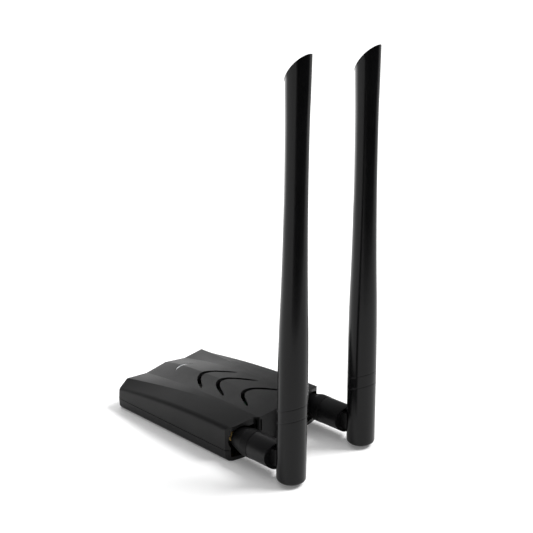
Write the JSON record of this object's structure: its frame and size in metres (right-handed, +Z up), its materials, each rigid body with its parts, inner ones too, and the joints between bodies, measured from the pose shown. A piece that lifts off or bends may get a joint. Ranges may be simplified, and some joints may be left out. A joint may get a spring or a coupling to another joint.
{
  "type": "usb wifi adapter",
  "caption": "Flat black desktop usb wifi adapter with faceted top, chevron vents and swivelling, folding rod antennas on threaded coaxial jacks.",
  "frame": {"origin": "on the resting face, midway along the side walls and midway between them", "axes": "+X from the usb end towards the antenna end, +Z up through the vented top, Y across the width; mirror symmetric about the XZ plane"},
  "size_m": [0.1194, 0.0628, 0.1863],
  "materials": {
    "black_shell": "fine matte moulded texture",
    "black_gloss": "semi-gloss moulded",
    "black_satin": "satin moulded",
    "gold_plate": "gold plated brass",
    "bright_nickel": "nickel plated",
    "raw_brass": "turned brass",
    "white_ptfe": "white fluoropolymer",
    "board_green": "solder mask",
    "chip_black": "moulded epoxy",
    "tin_shield": "tinned sheet",
    "pad_grey": "soft thermal pad",
    "led_lens_milk": "milky light pipe",
    "led_body_clear": "clear epoxy",
    "label_silver": "blank silver label",
    "steel_zinc": "zinc plated",
    "cable_black": "cable jacket"
  },
  "bodies": {
    "housing": {"top_cover": "black_shell", "bottom_cover": "black_shell", "blank_label": "label_silver", "circuit_board": "board_green", "radio_shield": "tin_shield", "radio_chip": "chip_black", "thermal_pad": "pad_grey", "flash_chip": "chip_black", "crystal_can": "tin_shield", "status_led": "led_body_clear", "led_lens": "led_lens_milk", "usb_socket_shell": "bright_nickel", "usb_tongue": "chip_black", "usb_contacts_lower": "gold_plate", "usb_contacts_upper": "gold_plate", "case_screw_1": "steel_zinc", "case_screw_2": "steel_zinc", "case_screw_3": "steel_zinc", "case_screw_4": "steel_zinc", "jack_body_near": "gold_plate", "jack_insulator_near": "white_ptfe", "jack_pin_near": "gold_plate", "jack_washer_near": "gold_plate", "jack_nut_near": "gold_plate", "jack_body_far": "gold_plate", "jack_insulator_far": "white_ptfe", "jack_pin_far": "gold_plate", "jack_washer_far": "gold_plate", "jack_nut_far": "gold_plate"},
    "nut_near": {"nut_sleeve_near": "black_satin", "coupling_nut_near": "raw_brass"},
    "swivel_near": {"stem_near": "black_satin", "plug_ferrule_near": "gold_plate", "plug_insulator_near": "white_ptfe", "plug_socket_near": "gold_plate", "tilt_pin_near": "steel_zinc"},
    "antenna_near": {"whip_near": "black_gloss", "radiator_sleeve_near": "raw_brass", "radiator_wire_near": "raw_brass", "antenna_coax_near": "cable_black"},
    "nut_far": {"nut_sleeve_far": "black_satin", "coupling_nut_far": "raw_brass"},
    "swivel_far": {"stem_far": "black_satin", "plug_ferrule_far": "gold_plate", "plug_insulator_far": "white_ptfe", "plug_socket_far": "gold_plate", "tilt_pin_far": "steel_zinc"},
    "antenna_far": {"whip_far": "black_gloss", "radiator_sleeve_far": "raw_brass", "radiator_wire_far": "raw_brass", "antenna_coax_far": "cable_black"}
  },
  "joints": [
    {"name": "nut_turn_near", "type": "hinge", "parent": "housing", "child": "nut_near", "pos_m": [0.0404, -0.0241, 0.01], "axis": [1, 0, 0], "continuous": true},
    {"name": "stem_swivel_near", "type": "hinge", "parent": "housing", "child": "swivel_near", "pos_m": [0.0518, -0.0241, 0.01], "axis": [1, 0, 0], "range_deg": [-4, 180]},
    {"name": "whip_tilt_near", "type": "hinge", "parent": "swivel_near", "child": "antenna_near", "pos_m": [0.0734, -0.0241, 0.01], "axis": [0, 0.9999, -0.0157], "range_deg": [0, 90]},
    {"name": "nut_turn_far", "type": "hinge", "parent": "housing", "child": "nut_far", "pos_m": [0.0404, 0.0241, 0.01], "axis": [1, 0, 0], "continuous": true},
    {"name": "stem_swivel_far", "type": "hinge", "parent": "housing", "child": "swivel_far", "pos_m": [0.0518, 0.0241, 0.01], "axis": [-1, 0, 0], "range_deg": [-4, 180]},
    {"name": "whip_tilt_far", "type": "hinge", "parent": "swivel_far", "child": "antenna_far", "pos_m": [0.0734, 0.0241, 0.01], "axis": [0, 0.9999, 0.0157], "range_deg": [0, 90]}
  ]
}
